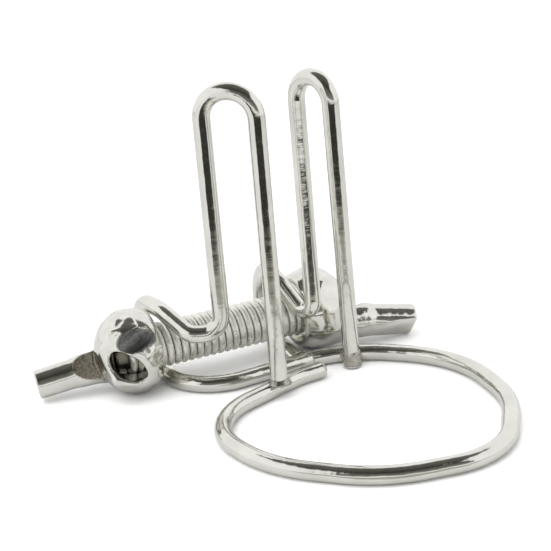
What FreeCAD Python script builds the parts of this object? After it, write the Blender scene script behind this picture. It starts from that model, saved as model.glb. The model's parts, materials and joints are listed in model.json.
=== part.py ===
"""Wire test tube holder: a ring and two upright loops of bent wire, with a sprung spindle
that turns in the eyes of the loops and carries a forged lug at each end.

Frame: origin on the table under the centre of the tube ring, +X along the spindle from the
left lug to the right lug, +Y from the ring towards the spindle, +Z up. Millimetres.
"""
import FreeCAD, Part
import math
import os

import Sketcher

Vector = FreeCAD.Vector
doc = FreeCAD.newDocument("test_tube_holder")

# --- driving dimensions ------------------------------------------------------------------
SIZES = [
    ("wire_dia", 3.5, "diameter of the frame wire"),
    ("weld_bite", 0.25, "depth the left loop's foot sinks into the ring's tail"),
    ("eye_weld_bite", 0.15, "depth the right eye wire sinks into the ring's back run"),
    ("foot_rise", 0.35, "height of the right loop's foot over the table"),
    ("ring_back", 28.8, "Y of the ring's back run, where the left loop wire is butted on"),
    ("butt_joint", 1.9, "X of the butt joint between ring and left loop wire"),
    ("tail_reach", 22.4, "Y of the ring's inner tail"),
    ("ring_corner_reach", 32.5, "ring centre to its two tighter corners, before bending"),
    ("ring_corner_bend", 16.0, "bend radius of the two corners"),
    ("ring_side_reach", 28.0, "ring centre to the three bends of its flatter sides"),
    ("ring_side_bend", 26.0, "bend radius of the flatter sides"),
    ("ring_back_reach", 30.5, "ring centre to the two bends that lead to the back run"),
    ("ring_back_bend", 24.0, "bend radius of those two bends"),
    ("ring_first_bend", 157.5, "direction of the first bend from the ring's centre, degrees"),
    ("ring_bend_step", 45.0, "angle from one bend to the next, degrees"),
    ("spindle_back", 38.5, "Y of the spindle axis"),
    ("spindle_height", 8.85, "height of the spindle axis over the table"),
    ("eye_back", 48.8, "Y of the wire behind the spindle"),
    ("eye_top", 17.3, "height of the wire over the spindle"),
    ("eye_bend", 7.0, "bend radius over the spindle"),
    ("eye_low_bend", 7.6, "bend radius under the spindle"),
    ("left_eye", -26.1, "X of the left eye where it passes under the spindle"),
    ("right_eye", 0.1, "X of the right eye where it passes under the spindle"),
    ("left_loop_height", 57.3, "height where the left loop starts its top bend"),
    ("right_loop_height", 56.2, "height where the right loop starts its top bend"),
    ("spring_outer", 9.5, "outside diameter of the coil spring"),
    ("spring_wire", 1.5, "diameter of the spring wire"),
    ("spring_pitch", 1.62, "distance from one turn to the next"),
    ("spring_left", -35.9, "X of the spring's left end"),
    ("spring_turns", 28.3, "number of turns"),
    ("rod_dia", 6.1, "diameter of the core rod"),
    ("rod_chamfer", 0.4, "chamfer at the rod's ends"),
    ("rod_proud", 2.0, "length of rod standing out of each spring end"),
    ("ball_dia", 17.6, "diameter of a lug's eye"),
    ("left_ball", -33.5, "X of the left lug's eye centre"),
    ("right_ball", 7.3, "X of the right lug's eye centre"),
    ("ball_inner_cut", 4.6, "eye centre to the flat face towards the other lug"),
    ("ball_outer_cut", 7.0, "eye centre to the outboard flat"),
    ("ball_rim_round", 2.0, "rounding where the flats meet the ball"),
    ("lug_bore", 9.7, "bore of the eye, running on the spring"),
    ("lug_bore_depth", 5.0, "eye centre to the bottom of the bore"),
    ("mouth_dia", 8.6, "diameter of the eye's open mouth"),
    ("neck_width", 10.0, "width of the flattened neck at the eye"),
    ("neck_thick", 4.4, "thickness of the flattened neck at the eye"),
    ("left_shank_dia", 6.2, "diameter of the left shank"),
    ("right_shank_dia", 7.0, "diameter of the right shank"),
    ("shank_start", 9.5, "eye centre to the start of the shank, along the spindle"),
    ("left_shank_end", 19.1, "left eye centre to the end of its shank, along the spindle"),
    ("right_shank_end", 21.0, "right eye centre to the end of its shank, along the spindle"),
    ("shank_offset", 5.46, "spindle axis to shank axis at the start of the shank"),
    ("shank_splay", 15.0, "angle of the shank to the spindle, degrees"),
    ("shank_chamfer", 0.7, "chamfer at the shank's end"),
    ("lug_droop", 39.0, "angle of each lug's shank below the level of the spindle, degrees"),
]
sheet = doc.addObject("Spreadsheet::Sheet", "Sizes")
for row, (alias, value, meaning) in enumerate(SIZES, start=1):
    sheet.set(f"A{row}", alias)
    sheet.set(f"B{row}", str(value))
    sheet.set(f"C{row}", meaning)
    sheet.setAlias(f"B{row}", alias)
doc.recompute()


def size(alias):
    """The value of one driving dimension."""
    return float(sheet.get(alias))


WIRE_R = size("wire_dia") / 2
AXIS_Y = size("spindle_back")
AXIS_Z = size("spindle_height")


# --- bent wire -----------------------------------------------------------------------------
def bent_path(corners):
    """A wire of straight runs joined by tangent arcs.

    corners: (x, y, z, bend radius) in order; the radius of the first and last is unused.
    """
    points = [Vector(x, y, z) for x, y, z, _ in corners]
    edges = []
    here = points[0]
    for i in range(1, len(points) - 1):
        corner = points[i]
        back = (points[i - 1] - corner).normalize()
        ahead = (points[i + 1] - corner).normalize()
        turn = math.pi - back.getAngle(ahead)
        radius = corners[i][3]
        trim = radius * math.tan(turn / 2)
        start = corner + back * trim
        end = corner + ahead * trim
        inward = (back + ahead).normalize()
        middle = corner + inward * (radius / math.cos(turn / 2) - radius)
        run = start - here
        if run.dot(corner - here) < -1e-6:
            raise ValueError(f"bend {i} does not fit its runs")
        if run.Length > 0.02:
            edges.append(Part.LineSegment(here, start).toShape())
        else:
            start = here
        edges.append(Part.Arc(start, middle, end).toShape())
        here = end
    edges.append(Part.LineSegment(here, points[-1]).toShape())
    return Part.Wire(edges)


def wire_form(label, corners):
    """A round wire bent along the corners, as a sweep whose section is bound to the sheet."""
    path = doc.addObject("Part::Feature", label + "_path")
    path.Shape = bent_path(corners)
    start = Vector(*corners[0][:3])
    along = Vector(*corners[1][:3]) - start
    section = doc.addObject("Part::Circle", label + "_section")
    section.setExpression("Radius", "Sizes.wire_dia / 2")
    section.Placement = FreeCAD.Placement(start, FreeCAD.Rotation(Vector(0, 0, 1), along))
    sweep = doc.addObject("Part::Sweep", label)
    sweep.Sections = [section]
    sweep.Spine = (path, [f"Edge{i + 1}" for i in range(len(path.Shape.Edges))])
    sweep.Solid = True
    sweep.Frenet = False
    sweep.Label = label
    return sweep


RING_BENDS = ("corner", "side", "side", "corner", "side", "back", "back")


def ring_corners():
    """The tube ring: a straight tail inside it, then seven shallow hand bends round it."""
    tail = size("tail_reach")
    corners = [(1.1, tail, WIRE_R, 0), (-4.0, tail - 0.5, WIRE_R, 12)]
    for turn, kind in enumerate(RING_BENDS):
        a = math.radians(size("ring_first_bend") + turn * size("ring_bend_step"))
        reach = size(f"ring_{kind}_reach")
        bend = size(f"ring_{kind}_bend")
        corners.append((reach * math.cos(a), reach * math.sin(a), WIRE_R, bend))
    corners.append((size("butt_joint"), size("ring_back"), WIRE_R, 0))
    return corners


def left_loop_corners():
    """Base run, eye round the spindle, bottom bend, upright loop, foot on the ring's tail.

    The legs lean a little, so each crown bend turns past a right angle and its radius is a
    little under half the distance between the legs.
    """
    eye = size("left_eye")
    back = size("eye_back")
    top = size("eye_top")
    bend = size("eye_bend")
    inner_low, inner_high = (-18.2, 26.0), (-18.5, 26.0)
    outer_high, outer_low = (-10.25, 18.6), (-9.9, 18.6)
    half = math.dist(inner_high, outer_high) / 2
    crown = size("left_loop_height") + half
    crown_bend = 0.97 * half
    foot = 2 * WIRE_R - size("weld_bite")
    return [
        (size("butt_joint"), size("ring_back"), WIRE_R, 0),
        (eye, 26.6, WIRE_R, 10.8),
        (eye, back, WIRE_R, size("eye_low_bend")),
        (eye - 2.1, back, top - 1.1, bend),
        (eye - 0.9, 37.0, top - 0.4, 6.0),
        (-24.2, 28.9, 13.5, 3.4),
        (*inner_low, 13.3, 4.1),
        (*inner_high, crown, crown_bend),
        (*outer_high, crown, crown_bend),
        (*outer_low, foot, 0),
    ]


def right_loop_corners():
    """Welded end on the back run, eye round the spindle, bottom bend, loop, foot inside the ring."""
    eye = size("right_eye")
    back = size("eye_back")
    top = size("eye_top")
    bend = size("eye_bend")
    inner_low, inner_high = (2.9, 27.6), (4.8, 33.0)
    outer_high, outer_low = (7.4, 23.0), (9.2, 23.9)
    half = math.dist(inner_high, outer_high) / 2
    crown = size("right_loop_height") + half
    crown_bend = 0.93 * half
    start = size("ring_back") + WIRE_R - size("eye_weld_bite")
    return [
        (eye, start, WIRE_R, 0),
        (eye, back, WIRE_R, size("eye_low_bend")),
        (eye + 0.1, back, top + 0.2, bend),
        (eye - 1.1, 36.9, top + 0.9, 4.1),
        (*inner_low, 8.8, 2.4),
        (*inner_high, crown, crown_bend),
        (*outer_high, crown, crown_bend),
        (*outer_low, size("foot_rise"), 0),
    ]


# --- sprung spindle ------------------------------------------------------------------------
def coil_spring():
    """A close-wound helical spring whose axis is the spindle."""
    radius = "(Sizes.spring_outer - Sizes.spring_wire) / 2"
    helix = doc.addObject("Part::Helix", "spring_helix")
    helix.setExpression("Pitch", "Sizes.spring_pitch")
    helix.setExpression("Height", "Sizes.spring_pitch * Sizes.spring_turns")
    helix.setExpression("Radius", radius)
    turn_to_x = FreeCAD.Rotation(Vector(0, 1, 0), 90)
    helix.Placement = FreeCAD.Placement(Vector(size("spring_left"), AXIS_Y, AXIS_Z), turn_to_x)
    mean_r = (size("spring_outer") - size("spring_wire")) / 2
    rise = size("spring_pitch") / (2 * math.pi)
    section = doc.addObject("Part::Circle", "spring_section")
    section.setExpression("Radius", "Sizes.spring_wire / 2")
    start = helix.Placement.multVec(Vector(mean_r, 0, 0))
    along = turn_to_x.multVec(Vector(0, mean_r, rise))
    section.Placement = FreeCAD.Placement(start, FreeCAD.Rotation(Vector(0, 0, 1), along))
    spring = doc.addObject("Part::Sweep", "coil_spring")
    spring.Sections = [section]
    spring.Spine = (helix, ["Edge1"])
    spring.Solid = True
    spring.Frenet = True
    spring.Label = "coil_spring"
    return spring


def core_rod():
    """The straight rod inside the spring."""
    body = doc.addObject("PartDesign::Body", "core_rod")
    plane = next(f for f in body.Origin.OriginFeatures if f.Role == "YZ_Plane")
    sketch = body.newObject("Sketcher::SketchObject", "rod_section")
    sketch.AttachmentSupport = [(plane, "")]
    sketch.MapMode = "FlatFace"
    sketch.addGeometry(Part.Circle(Vector(0, 0, 0), Vector(0, 0, 1), size("rod_dia") / 2))
    sketch.addConstraint(Sketcher.Constraint("Coincident", 0, 3, -1, 1))
    sketch.addConstraint(Sketcher.Constraint("Diameter", 0, size("rod_dia")))
    sketch.setExpression("Constraints[1]", "Sizes.rod_dia")
    pad = body.newObject("PartDesign::Pad", "rod_length")
    pad.Profile = sketch
    pad.setExpression("Length", "Sizes.spring_pitch * Sizes.spring_turns + 2 * Sizes.rod_proud")
    doc.recompute()
    chamfer = body.newObject("PartDesign::Chamfer", "rod_ends")
    chamfer.Base = (pad, [f"Edge{i + 1}" for i, e in enumerate(pad.Shape.Edges) if e.Closed])
    chamfer.setExpression("Size", "Sizes.rod_chamfer")
    left = size("spring_left") - size("rod_proud")
    body.Placement = FreeCAD.Placement(Vector(left, AXIS_Y, AXIS_Z), FreeCAD.Rotation())
    body.Label = "core_rod"
    return body


# --- lugs ----------------------------------------------------------------------------------
NECK_ROOT = Vector(2.5, 5.2, 0)
MOUTH_START = Vector(1.2, 0, 0.6)
MOUTH_DIRECTION = Vector(0.66, -0.68, 0.32)


def cylinder(name, radius, length, place, direction):
    """A Part cylinder whose radius and length are expressions on the sheet."""
    solid = doc.addObject("Part::Cylinder", name)
    solid.setExpression("Radius", radius)
    solid.setExpression("Height", length)
    solid.Placement = FreeCAD.Placement(place, FreeCAD.Rotation(Vector(0, 0, 1), direction))
    return solid


def barrel(label):
    """The ball of the eye with a flat towards the other lug, its rim rounded, and an outboard flat."""
    ball = doc.addObject("Part::Sphere", label + "_ball")
    ball.setExpression("Radius", "Sizes.ball_dia / 2")
    slab = doc.addObject("Part::Box", label + "_slab")
    slab.setExpression("Length", "Sizes.ball_inner_cut + Sizes.ball_outer_cut")
    slab.setExpression("Width", "2 * Sizes.ball_dia")
    slab.setExpression("Height", "2 * Sizes.ball_dia")
    reach = size("ball_dia")
    slab.Placement.Base = Vector(-size("ball_inner_cut"), -reach, -reach)
    cut_ball = doc.addObject("Part::Common", label + "_cut_ball")
    cut_ball.Base = ball
    cut_ball.Tool = slab
    doc.recompute()
    rims = [i for i, e in enumerate(cut_ball.Shape.Edges, start=1)
            if e.Closed and e.Length > 1 and e.BoundBox.XLength < 0.01]
    rounded = doc.addObject("Part::Fillet", label + "_barrel")
    rounded.Base = cut_ball
    rim_round = size("ball_rim_round")
    rounded.Edges = [(i, rim_round, rim_round) for i in rims]
    return rounded


def neck(label, side, splay):
    """The flattened neck: an ellipse inside the eye lofted out to the round shank."""
    across = Vector(0, 0, 1)
    root = doc.addObject("Part::Ellipse", label + "_neck_root")
    root.setExpression("MajorRadius", "Sizes.neck_width / 2")
    root.setExpression("MinorRadius", "Sizes.neck_thick / 2")
    root.Placement = FreeCAD.Placement(
        NECK_ROOT,
        FreeCAD.Rotation(across, Vector(0, 1, 0), Vector(-1, 0, 0), "ZXY"))
    tip = doc.addObject("Part::Circle", label + "_neck_tip")
    tip.setExpression("Radius", f"Sizes.{side}_shank_dia / 2")
    tip.Placement = FreeCAD.Placement(
        Vector(size("shank_start"), size("shank_offset"), 0),
        FreeCAD.Rotation(across, across.cross(-splay) * -1, -splay, "ZXY"))
    loft = doc.addObject("Part::Loft", label + "_neck")
    loft.Sections = [root, tip]
    loft.Solid = True
    loft.Ruled = False
    return loft


def shank(label, side, splay):
    """The round shank, chamfered at its free end."""
    start = Vector(size("shank_start"), size("shank_offset"), 0)
    reach = f"(Sizes.{side}_shank_end - Sizes.shank_start)"
    length = f"{reach} / cos(Sizes.shank_splay * 1deg)"
    bar = cylinder(label + "_bar", f"Sizes.{side}_shank_dia / 2", length, start, splay)
    doc.recompute()
    far = max(bar.Shape.Edges, key=lambda e: e.CenterOfMass.x if e.Closed else -99)
    number = next(i for i, e in enumerate(bar.Shape.Edges, start=1) if e.isSame(far))
    chamfered = doc.addObject("Part::Chamfer", label + "_shank")
    chamfered.Base = bar
    chamfer = size("shank_chamfer")
    chamfered.Edges = [(number, chamfer, chamfer)]
    return chamfered


def lug(side, placement):
    """A forged lug, drawn with its eye centre at the origin, +X outboard, +Y to the shank.

    The eye is a ball bored for the spring's end, with an open mouth on the side away from
    the shank; a flattened neck leads to a round shank that splays away from the spindle.
    """
    label = side + "_lug"
    angle = math.radians(size("shank_splay"))
    splay = Vector(math.cos(angle), math.sin(angle), 0)
    blank = doc.addObject("Part::MultiFuse", label + "_blank")
    blank.Shapes = [barrel(label), neck(label, side, splay), shank(label, side, splay)]
    inboard = Vector(-size("ball_dia"), 0, 0)
    bore = cylinder(label + "_bore", "Sizes.lug_bore / 2",
                    "Sizes.ball_dia + Sizes.lug_bore_depth", inboard, Vector(1, 0, 0))
    mouth = cylinder(label + "_mouth", "Sizes.mouth_dia / 2", "Sizes.ball_dia",
                     MOUTH_START, MOUTH_DIRECTION)
    openings = doc.addObject("Part::MultiFuse", label + "_openings")
    openings.Shapes = [bore, mouth]
    piece = doc.addObject("Part::Cut", label)
    piece.Base = blank
    piece.Tool = openings
    piece.Placement = placement
    piece.Label = label
    return piece


def lug_placement(eye_x, outboard):
    """Stand a lug at eye_x, pointing outboard (-1 left, +1 right), shank drooping to its side."""
    droop = math.radians(size("lug_droop"))
    to_tip = Vector(outboard, 0, 0)
    to_shank = Vector(0, -outboard * math.cos(droop), -math.sin(droop))
    turn = FreeCAD.Rotation(to_tip, to_shank, to_tip.cross(to_shank), "XYZ")
    return FreeCAD.Placement(Vector(eye_x, AXIS_Y, AXIS_Z), turn)


# --- build, check and write ----------------------------------------------------------------
pieces = [
    wire_form("ring_wire", ring_corners()),
    wire_form("left_loop_wire", left_loop_corners()),
    wire_form("right_loop_wire", right_loop_corners()),
    coil_spring(),
    core_rod(),
    lug("left", lug_placement(size("left_ball"), -1)),
    lug("right", lug_placement(size("right_ball"), 1)),
]
doc.recompute()

for item in doc.Objects:
    if {"Invalid", "Error"} & set(item.State):
        raise RuntimeError(f"{item.Label}: {item.State}")
os.makedirs("parts", exist_ok=True)
for piece in pieces:
    shape = piece.Shape
    if shape.isNull() or not shape.isValid() or shape.Volume <= 0 or len(shape.Solids) != 1:
        raise RuntimeError(f"{piece.Label}: not one sound solid")
    shape.exportStep(f"parts/{piece.Label}.step")
    box = shape.BoundBox
    print(f"{piece.Label:16s} {shape.Volume:9.1f} mm3  x {box.XMin:6.1f}..{box.XMax:5.1f}"
          f"  y {box.YMin:6.1f}..{box.YMax:5.1f}  z {box.ZMin:5.2f}..{box.ZMax:5.1f}")
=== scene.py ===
"""The wire test tube holder's looks: camera, light, plated wire, and the two hand-forged lugs."""

import json
import math

import bpy
import numpy as np
from mathutils import Matrix, Vector


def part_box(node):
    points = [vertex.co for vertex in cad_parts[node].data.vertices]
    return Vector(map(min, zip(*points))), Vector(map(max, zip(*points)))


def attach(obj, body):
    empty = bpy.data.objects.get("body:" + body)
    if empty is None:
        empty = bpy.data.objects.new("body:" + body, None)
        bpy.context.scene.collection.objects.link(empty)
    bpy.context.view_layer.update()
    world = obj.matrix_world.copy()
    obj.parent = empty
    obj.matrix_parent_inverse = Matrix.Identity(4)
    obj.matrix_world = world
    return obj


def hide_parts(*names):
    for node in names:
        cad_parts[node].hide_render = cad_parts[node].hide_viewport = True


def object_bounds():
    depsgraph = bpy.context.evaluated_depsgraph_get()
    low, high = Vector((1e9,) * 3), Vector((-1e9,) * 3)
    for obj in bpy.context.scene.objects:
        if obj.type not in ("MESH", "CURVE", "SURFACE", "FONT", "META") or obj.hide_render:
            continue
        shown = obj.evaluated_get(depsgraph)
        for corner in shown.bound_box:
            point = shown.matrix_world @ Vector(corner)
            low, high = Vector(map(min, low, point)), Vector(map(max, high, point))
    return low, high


MM = 0.001

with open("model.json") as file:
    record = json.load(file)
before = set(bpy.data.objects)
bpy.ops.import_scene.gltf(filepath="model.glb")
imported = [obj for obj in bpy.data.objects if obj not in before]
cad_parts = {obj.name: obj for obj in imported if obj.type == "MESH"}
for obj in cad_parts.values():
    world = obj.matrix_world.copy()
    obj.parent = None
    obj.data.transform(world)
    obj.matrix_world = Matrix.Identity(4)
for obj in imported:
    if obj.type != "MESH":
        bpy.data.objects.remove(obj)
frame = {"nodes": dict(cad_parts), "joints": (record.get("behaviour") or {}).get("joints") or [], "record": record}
cad_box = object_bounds()
record = frame["record"]
scene = bpy.context.scene

# The camera looks at a point near the middle of the object, from the front left and above.
VIEW_AZIMUTH = math.radians(-23.24)
VIEW_ELEVATION = math.radians(19.8)
VIEW_ROLL = math.radians(4.56)
VIEW_DISTANCE = 0.2762
AIM_OFFSET = Vector((-0.8, -0.85, -2.8)) * MM
LENS_MM = 95.94


def centre_of(box):
    return (Vector(box[0]) + Vector(box[1])) / 2


def named(rows, name):
    """The row of a list of the frame's or the record's rows that has this name."""
    return next(row for row in rows if row["name"] == name)


def in_mm(metres):
    """Millimetres to the hundredth: a mesh's box falls a little short of the true surface."""
    return round(metres / MM, 2)


def new_piece(name, mesh):
    piece = bpy.data.objects.new(name, mesh)
    scene.collection.objects.link(piece)
    return piece


# --- shader helpers ------------------------------------------------------------------------
class Shader:
    """A node tree for one Principled material, with short calls for its nodes."""

    def __init__(self, name):
        self.material = bpy.data.materials.new(name)
        self.material.use_nodes = True
        self.tree = self.material.node_tree
        self.surface = self.tree.nodes["Principled BSDF"]
        self.coords = self.tree.nodes.new("ShaderNodeTexCoord").outputs["Object"]

    def node(self, kind, **values):
        node = self.tree.nodes.new("ShaderNode" + kind)
        for key, value in values.items():
            if hasattr(node, key):
                setattr(node, key, value)
            else:
                node.inputs[key.replace("_", " ")].default_value = value
        return node

    def link(self, start, end):
        self.tree.links.new(start, end)

    def stretched(self, scale):
        mapping = self.node("Mapping")
        mapping.inputs["Scale"].default_value = scale
        self.link(self.coords, mapping.inputs["Vector"])
        return mapping.outputs["Vector"]

    def noise(self, vector, scale, detail=3.0, roughness=0.5):
        node = self.node("TexNoise", Scale=scale, Detail=detail, Roughness=roughness)
        self.link(vector, node.inputs["Vector"])
        return node.outputs["Fac"]

    def ramp(self, value, stops):
        node = self.node("ValToRGB")
        elements = node.color_ramp.elements
        while len(elements) < len(stops):
            elements.new(0.5)
        for element, (position, colour) in zip(elements, stops):
            element.position = position
            element.color = (*colour, 1.0)
        self.link(value, node.inputs["Fac"])
        return node.outputs["Color"]

    def span(self, value, low, high):
        node = self.node("MapRange")
        node.inputs["To Min"].default_value = low
        node.inputs["To Max"].default_value = high
        self.link(value, node.inputs["Value"])
        return node.outputs["Result"]

    def attribute(self, name):
        node = self.node("Attribute")
        node.attribute_name = name
        return node.outputs["Fac"]

    def mix(self, factor, a, b):
        node = self.tree.nodes.new("ShaderNodeMix")
        node.data_type = "RGBA"
        self.link(factor, node.inputs["Factor"])
        self.link(a, node.inputs["A"])
        self.link(b, node.inputs["B"])
        return node.outputs["Result"]

    def bump(self, height, strength, distance):
        node = self.node("Bump")
        node.inputs["Strength"].default_value = strength
        node.inputs["Distance"].default_value = distance
        self.link(height, node.inputs["Height"])
        return node.outputs["Normal"]


def plated_wire():
    """Bright plating over drawn wire: faint draw lines, soft smudges and slow waviness."""
    s = Shader("plated_wire")
    s.surface.inputs["Metallic"].default_value = 1.0
    smudge = s.noise(s.coords, 160.0, 4.0)
    tint = s.ramp(smudge, [(0.30, (0.72, 0.71, 0.66)), (0.70, (0.83, 0.82, 0.765))])
    s.link(tint, s.surface.inputs["Base Color"])
    lines = s.noise(s.stretched((90.0, 90.0, 2600.0)), 1.0, 3.0)
    s.link(s.span(lines, 0.08, 0.19), s.surface.inputs["Roughness"])
    wave = s.noise(s.coords, 240.0, 2.0)
    height = s.node("MixRGB")
    s.link(wave, height.inputs["Color1"])
    s.link(lines, height.inputs["Color2"])
    height.inputs["Fac"].default_value = 0.08
    s.link(s.bump(height.outputs["Color"], 0.26, 0.0007), s.surface.inputs["Normal"])
    return s.material


def spring_wire():
    """Plated spring wire, paler and duller than the bent wire. Its colour is made partly diffuse as painted light,
    to brighten the coils where they sit in the lug's shaded mouth.
    """
    s = Shader("spring_wire")
    # Partly diffuse: painted light that keeps the coils bright inside the lug's shaded mouth.
    s.surface.inputs["Metallic"].default_value = 0.7
    smudge = s.noise(s.coords, 420.0, 4.0)
    tint = s.ramp(smudge, [(0.30, (0.70, 0.69, 0.63)), (0.70, (0.86, 0.85, 0.79))])
    s.link(tint, s.surface.inputs["Base Color"])
    s.link(s.span(smudge, 0.20, 0.36), s.surface.inputs["Roughness"])
    s.link(s.bump(s.noise(s.coords, 900.0, 2.0), 0.15, 0.0003), s.surface.inputs["Normal"])
    return s.material


def sawn_rod():
    """Unplated rod: dull olive grey with saw marks on its end."""
    s = Shader("sawn_rod")
    s.surface.inputs["Metallic"].default_value = 1.0
    marks = s.noise(s.stretched((200.0, 500.0, 3200.0)), 1.0, 4.0)
    tint = s.ramp(marks, [(0.25, (0.20, 0.19, 0.15)), (0.75, (0.42, 0.40, 0.33))])
    s.link(tint, s.surface.inputs["Base Color"])
    s.link(s.span(marks, 0.30, 0.50), s.surface.inputs["Roughness"])
    s.link(s.bump(marks, 0.35, 0.0003), s.surface.inputs["Normal"])
    return s.material


def forged_plating():
    """Plating over a forging: bright and lumpy, with dark grain where the steel was left coarse."""
    s = Shader("forged_plating")
    s.surface.inputs["Metallic"].default_value = 1.0
    coarse = s.attribute("coarse")
    dished = s.attribute("dished")
    blotch = s.noise(s.coords, 330.0, 4.0, 0.6)
    grain = s.noise(s.coords, 2400.0, 4.0, 0.7)
    bright = s.ramp(blotch, [(0.30, (0.71, 0.70, 0.65)), (0.70, (0.83, 0.82, 0.77))])
    dull = s.ramp(grain, [(0.35, (0.20, 0.18, 0.15)), (0.65, (0.55, 0.50, 0.43))])
    cool = s.ramp(grain, [(0.35, (0.17, 0.175, 0.175)), (0.65, (0.36, 0.365, 0.365))])
    forged = s.mix(coarse, bright, dull)
    tint = s.mix(dished, forged, cool)
    s.link(tint, s.surface.inputs["Base Color"])
    s.link(s.span(coarse, 0.13, 0.36), s.surface.inputs["Roughness"])
    lumps = s.noise(s.coords, 300.0, 2.0)
    height = s.mix(coarse, lumps, grain)
    s.link(s.bump(height, 0.30, 0.0006), s.surface.inputs["Normal"])
    return s.material


def weld_metal():
    """Plated weld metal: duller and darker than the wire, with a fine ripple."""
    s = Shader("weld_metal")
    s.surface.inputs["Metallic"].default_value = 1.0
    ripple = s.noise(s.coords, 1400.0, 3.0)
    tint = s.ramp(ripple, [(0.30, (0.36, 0.34, 0.30)), (0.70, (0.62, 0.60, 0.54))])
    s.link(tint, s.surface.inputs["Base Color"])
    s.link(s.span(ripple, 0.20, 0.38), s.surface.inputs["Roughness"])
    s.link(s.bump(ripple, 0.35, 0.0004), s.surface.inputs["Normal"])
    return s.material


# --- signed distance shapes, in the lug's own millimetres -----------------------------------
# PROBE is half the gap over which a slope is measured. LEAST_SLOPE keeps a step finite where a
# field is flat. CELL_REACH is how far a vertex may leave its cell's middle, in cells.
PROBE = 0.02
LEAST_SLOPE = 0.05
CELL_REACH = 0.9
SETTLING_PASSES = 8
CELL = 0.25


def join(a, b, blend):
    """Union of two fields, filleted over about blend."""
    h = np.clip(0.5 + 0.5 * (b - a) / blend, 0.0, 1.0)
    return b * (1 - h) + a * h - blend * h * (1 - h)


def cut(a, b, blend):
    """Field a with field b taken away, its edge rounded over about blend."""
    return -join(-a, b, blend)


def ellipsoid(p, centre, radii, axes=np.eye(3)):
    q = ((p - np.asarray(centre)) @ np.asarray(axes).T) / np.asarray(radii)
    n = np.linalg.norm(q, axis=-1)
    m = np.linalg.norm(q / np.asarray(radii), axis=-1)
    return n * (n - 1.0) / np.maximum(m, 1e-6)


def tapered(p, start, end, r0, r1, flat=1.0):
    """A round bar from start to end, radius r0 to r1; flat squashes it along local Z."""
    start, end = np.asarray(start, float), np.asarray(end, float)
    run = end - start
    t = np.clip(((p - start) @ run) / (run @ run), 0.0, 1.0)
    off = p - (start + t[..., None] * run)
    off[..., 2] *= flat
    return np.linalg.norm(off, axis=-1) - (r0 + (r1 - r0) * t)


def surface_of(field, low, high, step):
    """Vertices and quads of the surface where field is zero, negative inside the metal."""
    axes = [np.arange(a, b + step, step) for a, b in zip(low, high)]
    grid = np.stack(np.meshgrid(*axes, indexing="ij"), -1)
    inside = field(grid) < 0
    cells = tuple(n - 1 for n in inside.shape)
    corners = [(i, j, k) for i in (0, 1) for j in (0, 1) for k in (0, 1)]
    count = sum(inside[i:i + cells[0], j:j + cells[1], k:k + cells[2]].astype(int)
                for i, j, k in corners)
    crossing = (count > 0) & (count < 8)
    number = np.full(cells, -1)
    number[crossing] = np.arange(crossing.sum())
    home = np.asarray(low) + (np.argwhere(crossing) + 0.5) * step
    points = home.copy()
    probe = PROBE * np.eye(3)
    limit = CELL_REACH * step
    for _ in range(SETTLING_PASSES):
        value = field(points)
        slope = np.stack([field(points + e) - field(points - e) for e in probe], -1)
        slope /= 2 * PROBE
        size = np.maximum((slope ** 2).sum(-1), LEAST_SLOPE)
        points -= (value / size)[:, None] * slope
        points = home + np.clip(points - home, -limit, limit)
    quads = []
    for axis in range(3):
        u, v = (axis + 1) % 3, (axis + 2) % 3
        low_side = np.take(inside, range(0, inside.shape[axis] - 1), axis)
        high_side = np.take(inside, range(1, inside.shape[axis]), axis)
        for leaving in (True, False):
            edge = (low_side & ~high_side) if leaving else (~low_side & high_side)
            at = np.argwhere(edge)
            at = at[(at[:, u] > 0) & (at[:, v] > 0)]
            at = at[(at[:, u] < cells[u]) & (at[:, v] < cells[v])]
            around = []
            for du, dv in ((-1, -1), (0, -1), (0, 0), (-1, 0)):
                cell = at.copy()
                cell[:, u] += du
                cell[:, v] += dv
                around.append(number[cell[:, 0], cell[:, 1], cell[:, 2]])
            quad = np.stack(around, -1)
            quads.append(quad if leaving else quad[:, ::-1])
    return points, np.concatenate(quads)


# --- the forged lug ------------------------------------------------------------------------
def unit(*v):
    v = np.asarray(v, float)
    return v / np.linalg.norm(v)


# Sizes that the CAD lug fixes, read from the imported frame.
swivel = named(frame["joints"], "left_lug_swivel")["pos_m"]
lug_low, lug_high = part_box("left_lug")
spring_low, spring_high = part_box("coil_spring")
RUNNING_GAP = 0.1
BALL_RADIUS = in_mm(swivel[2] - lug_low[2])
INNER_FLAT = in_mm(lug_high[0] - swivel[0])
BORE_RADIUS = in_mm((spring_high[2] - spring_low[2]) / 2) + RUNNING_GAP

# Two sizes of the CAD lug that the frame doesn't give.
BORE_BOTTOM = 5.0
SHANK_CHAMFER = 0.7

# The eye: a lumpy ball, with flats given as (direction, depth).
EYE_RADIUS = 9.0
EYE_HALF_LENGTH = 7.7
EYE_CENTRE = (0.0, -0.2, -0.1)
EYE_FLATS = (((-0.43, -0.77, 0.48), 0.3), ((-0.62, -0.42, 0.66), 0.35),
             ((-0.82, -0.56, 0.12), 0.35), ((-0.1, -0.45, -0.9), 0.2),
             ((0.2, 0.3, -0.95), 0.6), ((-0.3, 0.9, 0.2), 0.5),
             ((0.40, -0.60, 0.69), 1.1))
FLAT_EDGE = 0.25
HAMMER_DEPTH = 0.07
INNER_EDGE = 1.3

# The neck and shank. The coarse flat is a slope in X and Y, and the back is another.
NECK_START = (2.0, 5.2, 0.0)
NECK_RADIUS = 4.3
NECK_FILLET = 1.2
BAR_TAPER = 0.97
BAR_END_EDGE = 0.45
COARSE_LEVEL = 2.75
COARSE_END = 12.0
COARSE_SLOPE = 0.20
COARSE_EDGE = 0.2
BACK_LEVEL = 8.2
BACK_SLOPE = 0.1
BACK_EDGE = 0.6

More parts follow.
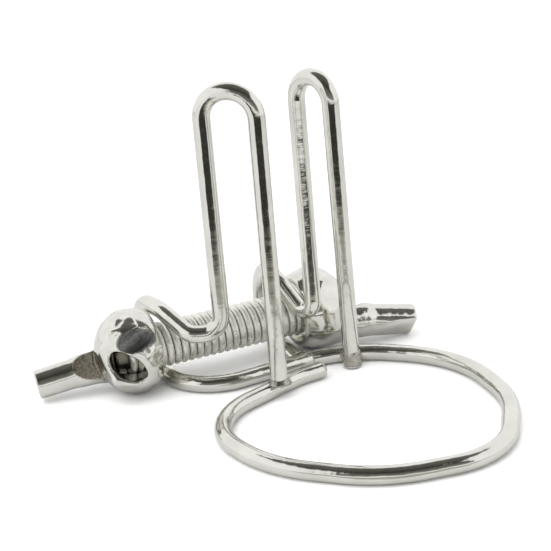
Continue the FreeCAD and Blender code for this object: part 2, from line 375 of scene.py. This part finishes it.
# What is raised on the eye or cut into it: points run along each feature.
EYE_FILLET = 0.9
LIP = ((6.6, -3.4, 0.0), (5.2, -2.4, 5.8), (2.2, -4.0, 7.3))
LIP_RADII = (1.1, 1.3, 1.3)
LIP_FILLET = 0.8
RIDGE = ((4.6, -6.6, -2.6), (-2.4, -8.4, -2.1))
RIDGE_RADII = (0.8, 0.7)
RIDGE_FILLET = 0.5
DISH_CENTRE = (1.3, -9.9, 0.4)
DISH_RADII = (4.9, 2.9, 2.6)
DISH_AXES = (unit(1.0, 0.25, -0.12), unit(0.22, -0.93, -0.3), unit(-0.18, -0.28, 0.94))
GROOVE = ((7.1, -5.0, 0.4), (6.2, -6.2, -1.8), (4.2, -7.9, -2.7))
GROOVE_RADII = (0.45, 0.45, 0.35)
CUT_EDGE = 0.2
MOUTH_CENTRE = (3.5, -5.0, 4.3)
MOUTH_RADII = (3.7, 6.0, 2.6)
MOUTH_AXES = (unit(0.72, 0.46, -0.51), unit(0.55, -0.62, 0.55), unit(0.42, 0.63, 0.62))
MOUTH_BLEND = 0.5
MOUTH_EDGE = 0.55

# Where the finish changes.
DULL_CENTRE = (1.3, -8.4, 0.4)
DULL_RADII = (4.7, 2.4, 2.6)
DULL_RISE = 2.5
COARSE_DEPTH = 0.35
COARSE_RISE = 6.0
COARSE_SPAN = (4.5, 12.6)

LUG_LOW = (-6.0, -11.0, -10.5)
LUG_HIGH = (23.5, 15.0, 10.5)


def flat_on(p, body, direction, depth):
    """Press a flat into body: the plane sits depth below the eye's surface along direction."""
    n = unit(*direction)
    reach = np.linalg.norm(n * np.array([EYE_HALF_LENGTH, EYE_RADIUS, EYE_RADIUS]))
    return cut(body, -(p @ n - (reach - depth)), FLAT_EDGE)


def hammering(p, depth):
    """Slow uneven waves, as hand forging leaves them."""
    x, y, z = p[..., 0], p[..., 1], p[..., 2]
    waves = np.sin(0.9 * x + 1.3 * y) * np.sin(1.1 * z - 0.7 * x + 0.8)
    return depth * (waves + 0.6 * np.sin(1.9 * y - 1.4 * z) * np.sin(1.7 * x + 0.4))


def inboard_limit(p):
    """The rounded flat towards the other lug, which clears the wire the lug turns beside."""
    ball = np.linalg.norm(p, axis=-1) - BALL_RADIUS
    return cut(ball, p[..., 0] + INNER_FLAT, INNER_EDGE)


def eye_field(p):
    """The lumpy ball of the eye, with its pressed flats."""
    eye = ellipsoid(p, EYE_CENTRE, (EYE_HALF_LENGTH, BALL_RADIUS, BALL_RADIUS))
    for direction, depth in EYE_FLATS:
        eye = flat_on(p, eye, direction, depth)
    return eye + hammering(p, HAMMER_DEPTH)


def short_of_coarse_flat(p):
    """How far p lies along Y on the side that the neck's coarse flat cuts away."""
    return COARSE_LEVEL + (COARSE_END - p[..., 0]) * COARSE_SLOPE - p[..., 1]


def shank_field(p, start, direction, length, radius):
    """The neck and the round shank, with the coarse flat pressed where they meet."""
    neck = tapered(p, NECK_START, start, NECK_RADIUS, radius)
    bar = tapered(p, start, start + direction * (length + radius), radius, BAR_TAPER * radius)
    past_end = (p - start) @ direction - length
    bar = join(neck, cut(bar, -past_end, BAR_END_EDGE), NECK_FILLET)
    bar = cut(bar, -short_of_coarse_flat(p), COARSE_EDGE)
    past_back = p[..., 1] - (BACK_LEVEL + BACK_SLOPE * p[..., 0])
    return cut(bar, -past_back, BACK_EDGE)


def lug_field(p, shank):
    """The lug about its eye centre: +X outboard along the spindle, +Y towards the shank."""
    body = join(eye_field(p), shank_field(p, *shank), EYE_FILLET)
    lip = tapered(p, LIP[0], LIP[1], LIP_RADII[0], LIP_RADII[1])
    lip = join(lip, tapered(p, LIP[1], LIP[2], LIP_RADII[1], LIP_RADII[2]), LIP_FILLET)
    body = join(body, lip, LIP_FILLET)
    body = join(body, tapered(p, *RIDGE, *RIDGE_RADII), RIDGE_FILLET)
    body = cut(body, ellipsoid(p, DISH_CENTRE, DISH_RADII, DISH_AXES), CUT_EDGE)
    groove = tapered(p, GROOVE[0], GROOVE[1], GROOVE_RADII[0], GROOVE_RADII[1])
    groove_end = tapered(p, GROOVE[1], GROOVE[2], GROOVE_RADII[1], GROOVE_RADII[2])
    body = cut(body, np.minimum(groove, groove_end), CUT_EDGE)
    body = np.where(p[..., 0] < 0.0, np.maximum(body, inboard_limit(p)), body)
    bore = np.linalg.norm(p[..., 1:], axis=-1) - BORE_RADIUS
    bore = np.maximum(bore, p[..., 0] - BORE_BOTTOM)
    mouth = ellipsoid(p, MOUTH_CENTRE, MOUTH_RADII, MOUTH_AXES)
    return cut(body, join(bore, mouth, MOUTH_BLEND), MOUTH_EDGE)


def in_dish(p):
    """1 inside the dished face, 0 elsewhere."""
    return np.clip(-ellipsoid(p, DULL_CENTRE, DULL_RADII) * DULL_RISE, 0.0, 1.0)


def on_flat(p):
    """1 on the neck's coarse flat, 0 where polished."""
    near = np.clip((COARSE_DEPTH - np.abs(short_of_coarse_flat(p))) * COARSE_RISE, 0.0, 1.0)
    return near * (p[..., 0] > COARSE_SPAN[0]) * (p[..., 0] < COARSE_SPAN[1])


def lug_axes(joint_name, mount_name):
    """Matrix from the lug's millimetres to the frame, from its joint and its shank mount."""
    joint = named(frame["joints"], joint_name)
    along = Vector(named(record["mounts"], mount_name)["axis"])
    outboard = Vector((math.copysign(1.0, along.x), 0.0, 0.0))
    side = (along - outboard * along.dot(outboard)).normalized()
    turn = Matrix((outboard, side, outboard.cross(side))).transposed().to_4x4()
    return Matrix.Translation(Vector(joint["pos_m"])) @ turn @ Matrix.Scale(MM, 4)


def shank_line(joint_name, mount_name):
    """The shank's start, direction, length and radius in the lug's millimetres, from its mount."""
    mount = named(record["mounts"], mount_name)
    to_lug = lug_axes(joint_name, mount_name).inverted()
    middle_of_grip = to_lug @ Vector(mount["pos_m"])
    direction = (to_lug.to_3x3() @ Vector(mount["axis"])).normalized()
    grip = mount["dims"]["length_mm"]
    start = middle_of_grip - direction * grip / 2
    return np.array(start), np.array(direction), grip + SHANK_CHAMFER, mount["dims"]["r_mm"]


def forged_lug(name, body, joint_name, mount_name, shape, material):
    """One lug piece that stands for the CAD lug of its body."""
    points, quads = shape
    mesh = bpy.data.meshes.new(name)
    mesh.from_pydata(points.tolist(), [], quads.tolist())
    dished = in_dish(points)
    coarse = np.maximum(dished, on_flat(points))
    for label, values in (("coarse", coarse), ("dished", dished)):
        mesh.attributes.new(label, "FLOAT", "POINT").data.foreach_set("value", values)
    mesh.transform(lug_axes(joint_name, mount_name))
    mesh.shade_smooth()
    mesh.materials.append(material)
    piece = new_piece(name, mesh)
    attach(piece, body)
    return piece


# --- joins -----------------------------------------------------------------------------------
FACING = 0.9
SAME_PLANE = 0.01


def wire_end(node, direction):
    """Centre, in mm, and direction of the flat end of a wire that faces about direction.

    The end is the plane that the most triangles facing that way share.
    """
    faces = frame["nodes"][node].data.polygons
    area = np.empty(len(faces))
    normal = np.empty(3 * len(faces))
    centre = np.empty(3 * len(faces))
    faces.foreach_get("area", area)
    faces.foreach_get("normal", normal)
    faces.foreach_get("center", centre)
    normal = normal.reshape(-1, 3)
    facing = normal @ np.asarray(direction, float) > FACING
    area = area[facing]
    normal = normal[facing]
    centre = centre.reshape(-1, 3)[facing] / MM
    planes = np.column_stack((normal, (normal * centre).sum(-1)))
    shared = (np.abs(planes[:, None] - planes[None]) < SAME_PLANE).all(-1)
    end = shared[shared.sum(-1).argmax()]
    middle_of_end = np.average(centre[end], axis=0, weights=area[end])
    return Vector(middle_of_end), Vector(normal[end].mean(0)).normalized()


UNEVENNESS = 0.03
LOBES = 3


def lathe(name, place, axis, profile, material, turns=40):
    """A small piece turned about axis at place; profile is (radius, distance along) in mm."""
    turn = axis.to_track_quat("Z", "Y").to_matrix()
    vertices = []
    for radius, along in profile:
        for k in range(turns):
            a = 2 * math.pi * k / turns
            uneven = radius * (1.0 + UNEVENNESS * math.sin(LOBES * a + along))
            local = Vector((uneven * math.cos(a), uneven * math.sin(a), along))
            vertices.append((place + turn @ local) * MM)
    faces = []
    for row in range(len(profile) - 1):
        for k in range(turns):
            a, b = row * turns + k, row * turns + (k + 1) % turns
            faces.append((a, b, b + turns, a + turns))
    faces.append(tuple(reversed(range(turns))))
    faces.append(tuple(range((len(profile) - 1) * turns, len(profile) * turns)))
    mesh = bpy.data.meshes.new(name)
    mesh.from_pydata(vertices, [], faces)
    mesh.shade_smooth()
    mesh.materials.append(material)
    return new_piece(name, mesh)


# --- stage ---------------------------------------------------------------------------------
SENSOR_MM = 36.0
CARD_COLOUR = (1.0, 0.99, 0.88, 1.0)


def only_reflected(piece):
    """Show a stage piece to reflections alone."""
    piece.visible_camera = False
    piece.visible_diffuse = False
    piece.visible_shadow = False


def quad(name, corners):
    mesh = bpy.data.meshes.new(name)
    mesh.from_pydata([Vector(c) for c in corners], [], [(0, 1, 2, 3)])
    piece = new_piece(name, mesh)
    return piece


def card(name, corners, glow_at_corners):
    """A studio card that only reflections see, with a brightness at each of its corners."""
    piece = quad(name, corners)
    glow = piece.data.attributes.new("glow", "FLOAT", "POINT")
    glow.data.foreach_set("value", glow_at_corners)
    material = bpy.data.materials.new(name)
    material.use_nodes = True
    tree = material.node_tree
    tree.nodes.clear()
    emission = tree.nodes.new("ShaderNodeEmission")
    emission.inputs["Color"].default_value = CARD_COLOUR
    brightness = tree.nodes.new("ShaderNodeAttribute")
    brightness.attribute_name = "glow"
    output = tree.nodes.new("ShaderNodeOutputMaterial")
    tree.links.new(brightness.outputs["Fac"], emission.inputs["Strength"])
    tree.links.new(emission.outputs["Emission"], output.inputs["Surface"])
    piece.data.materials.append(material)
    only_reflected(piece)
    return piece


def floor_plane(size, height, grey, name):
    half = size / 2
    piece = quad(name, [(-half, -half, height), (half, -half, height),
                        (half, half, height), (-half, half, height)])
    material = bpy.data.materials.new(name)
    material.use_nodes = True
    surface = material.node_tree.nodes["Principled BSDF"]
    surface.inputs["Base Color"].default_value = (grey, grey, grey, 1.0)
    surface.inputs["Roughness"].default_value = 0.9
    surface.inputs["Specular IOR Level"].default_value = 0.0
    piece.data.materials.append(material)
    return piece


def area_light(name, place, target, size, power):
    lamp = bpy.data.lights.new(name, "AREA")
    lamp.shape = "RECTANGLE"
    lamp.size, lamp.size_y = size
    lamp.energy = power
    light = bpy.data.objects.new(name, lamp)
    light.location = place
    light.visible_glossy = False
    light.rotation_euler = (Vector(target) - Vector(place)).to_track_quat("-Z", "Y").to_euler()
    scene.collection.objects.link(light)
    return light


def set_camera(target):
    lens = bpy.data.cameras.new("camera")
    lens.lens = LENS_MM
    lens.sensor_width = SENSOR_MM
    camera = bpy.data.objects.new("camera", lens)
    away = Vector((math.sin(VIEW_AZIMUTH) * math.cos(VIEW_ELEVATION),
                   -math.cos(VIEW_AZIMUTH) * math.cos(VIEW_ELEVATION),
                   math.sin(VIEW_ELEVATION)))
    camera.location = target + away * VIEW_DISTANCE
    aim = (-away).to_track_quat("-Z", "Y").to_matrix().to_4x4()
    roll = Matrix.Rotation(-VIEW_ROLL, 4, "Z")
    camera.matrix_world = Matrix.Translation(camera.location) @ aim @ roll
    scene.collection.objects.link(camera)
    scene.camera = camera
    return camera


def set_world(colour, strength):
    world = bpy.data.worlds.new("studio")
    world.use_nodes = True
    background = world.node_tree.nodes["Background"]
    background.inputs["Color"].default_value = (*colour, 1.0)
    background.inputs["Strength"].default_value = strength
    scene.world = world


# --- build ---------------------------------------------------------------------------------
middle = centre_of(cad_box)
KEY_FROM = Vector((-0.25, -0.15, 0.55))
KEY_SIZE = (0.60, 0.60)
KEY_POWER = 2.6
FLOOR_SIZE = 6.0
FLOOR_GREY = 0.97
set_camera(middle + AIM_OFFSET)
floor_plane(FLOOR_SIZE, 0.0, FLOOR_GREY, "floor")
set_world((1.0, 1.0, 1.0), 1.0)
area_light("key", middle + KEY_FROM, middle, KEY_SIZE, KEY_POWER)
scene.view_settings.view_transform = "Standard"

# Only reflections see these: a dark ceiling and a dark patch of floor in front give the metal
# its black streaks, and a greyer floor tones down its undersides. An edge is its distance
# towards the camera, then its left and right ends.
to_camera = Vector((math.sin(VIEW_AZIMUTH), -math.cos(VIEW_AZIMUTH), 0.0))
to_right = Vector((-to_camera.y, to_camera.x, 0.0))
WALL_EDGE = (0.50, -0.38, 0.62)
WALL_FOOT = 0.106
CEILING_NEAR = (0.50, -0.45, 0.45)
CEILING_FAR = (-0.28, -0.45, 0.45)
CEILING_HEIGHT = 0.60
PATCH_START = (0.035, -0.04, 0.07)
PATCH_MIDDLE = (0.085, -0.07, 0.12)
PATCH_END = (0.60, -0.45, 0.78)
PATCH_LIFT = 0.0008
DARK = 0.035
WALL_GLOW = 0.22
CEILING_GLOW = 0.16
PATCH_GLOW = 0.5
REFLECTED_FLOOR_SIZE = 2.0
REFLECTED_FLOOR_LIFT = 0.0003
REFLECTED_FLOOR_GREY = 0.62


def between(near, far, near_height, far_height):
    """Corners of a card from its near edge to its far edge, placed round the object."""
    base = Vector((middle.x, middle.y, 0.0))
    corners = ((near[0], near[1], near_height), (near[0], near[2], near_height),
               (far[0], far[2], far_height), (far[0], far[1], far_height))
    return [base + to_camera * a + to_right * b + Vector((0, 0, z)) for a, b, z in corners]


only_reflected(floor_plane(REFLECTED_FLOOR_SIZE, REFLECTED_FLOOR_LIFT, REFLECTED_FLOOR_GREY,
                           "floor_in_reflections"))
card("wall_card", between(WALL_EDGE, WALL_EDGE, WALL_FOOT, CEILING_HEIGHT),
     (WALL_GLOW, WALL_GLOW, DARK, DARK))
card("ceiling_card", between(CEILING_NEAR, CEILING_FAR, CEILING_HEIGHT, CEILING_HEIGHT),
     (DARK, DARK, CEILING_GLOW, CEILING_GLOW))
card("front_card_near", between(PATCH_START, PATCH_MIDDLE, PATCH_LIFT, PATCH_LIFT),
     (PATCH_GLOW, PATCH_GLOW, DARK, DARK))
card("front_card_far", between(PATCH_MIDDLE, PATCH_END, PATCH_LIFT, PATCH_LIFT), [DARK] * 4)


def dress(node, material):
    """Give a CAD node its material."""
    slots = frame["nodes"][node].data.materials
    slots.clear()
    slots.append(material)


wire = plated_wire()
for node in ("ring_wire", "left_loop_wire", "right_loop_wire"):
    dress(node, wire)
dress("coil_spring", spring_wire())
dress("core_rod", sawn_rod())

plating = forged_plating()
for side in ("left", "right"):
    joint, mount = side + "_lug_swivel", side + "_shank"
    shank = shank_line(joint, mount)
    forging = surface_of(lambda p: lug_field(p, shank), LUG_LOW, LUG_HIGH, CELL)
    lug = forged_lug(side + "_forged_lug", side + "_lug_body", joint, mount, forging, plating)
    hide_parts(side + "_lug")

# Where the wires were joined: each wire's flat end, in the frame's millimetres. Each profile
# below is (radius, distance along).
ALONG_X = Vector((1.0, 0.0, 0.0))
UP = Vector((0.0, 0.0, 1.0))
COLLAR_SINK = 0.25
SLEEVE_LIFT = 0.15
COLLAR = ((1.6, 0.0), (2.45, 0.1), (2.3, 0.5), (1.95, 0.95), (1.7, 1.4))
SLEEVE = ((1.6, 0.0), (1.9, 0.15), (2.0, 0.8), (1.93, 2.2), (1.85, 3.2), (1.6, 3.5))
SEAM = ((1.6, -0.12), (1.79, -0.08), (1.79, 0.08), (1.6, 0.12))
DOME = ((1.69, -0.1), (1.65, 0.25), (1.35, 0.75), (0.75, 1.1), (0.02, 1.25))
left_foot, _ = wire_end("left_loop_wire", -UP)
right_foot, _ = wire_end("right_loop_wire", -UP)
butt_joint, _ = wire_end("ring_wire", -ALONG_X)
tail_end, tail_direction = wire_end("ring_wire", ALONG_X)
weld = weld_metal()
collar = lathe("left_foot_weld", left_foot - UP * COLLAR_SINK, UP, COLLAR, weld)
sleeve = lathe("right_foot_weld", right_foot + UP * SLEEVE_LIFT, UP, SLEEVE, weld)
seam = lathe("butt_seam", butt_joint, ALONG_X, SEAM, weld)
dome = lathe("tail_dome", tail_end, tail_direction, DOME, wire)
for detail in (collar, sleeve, seam, dome):
    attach(detail, "frame")
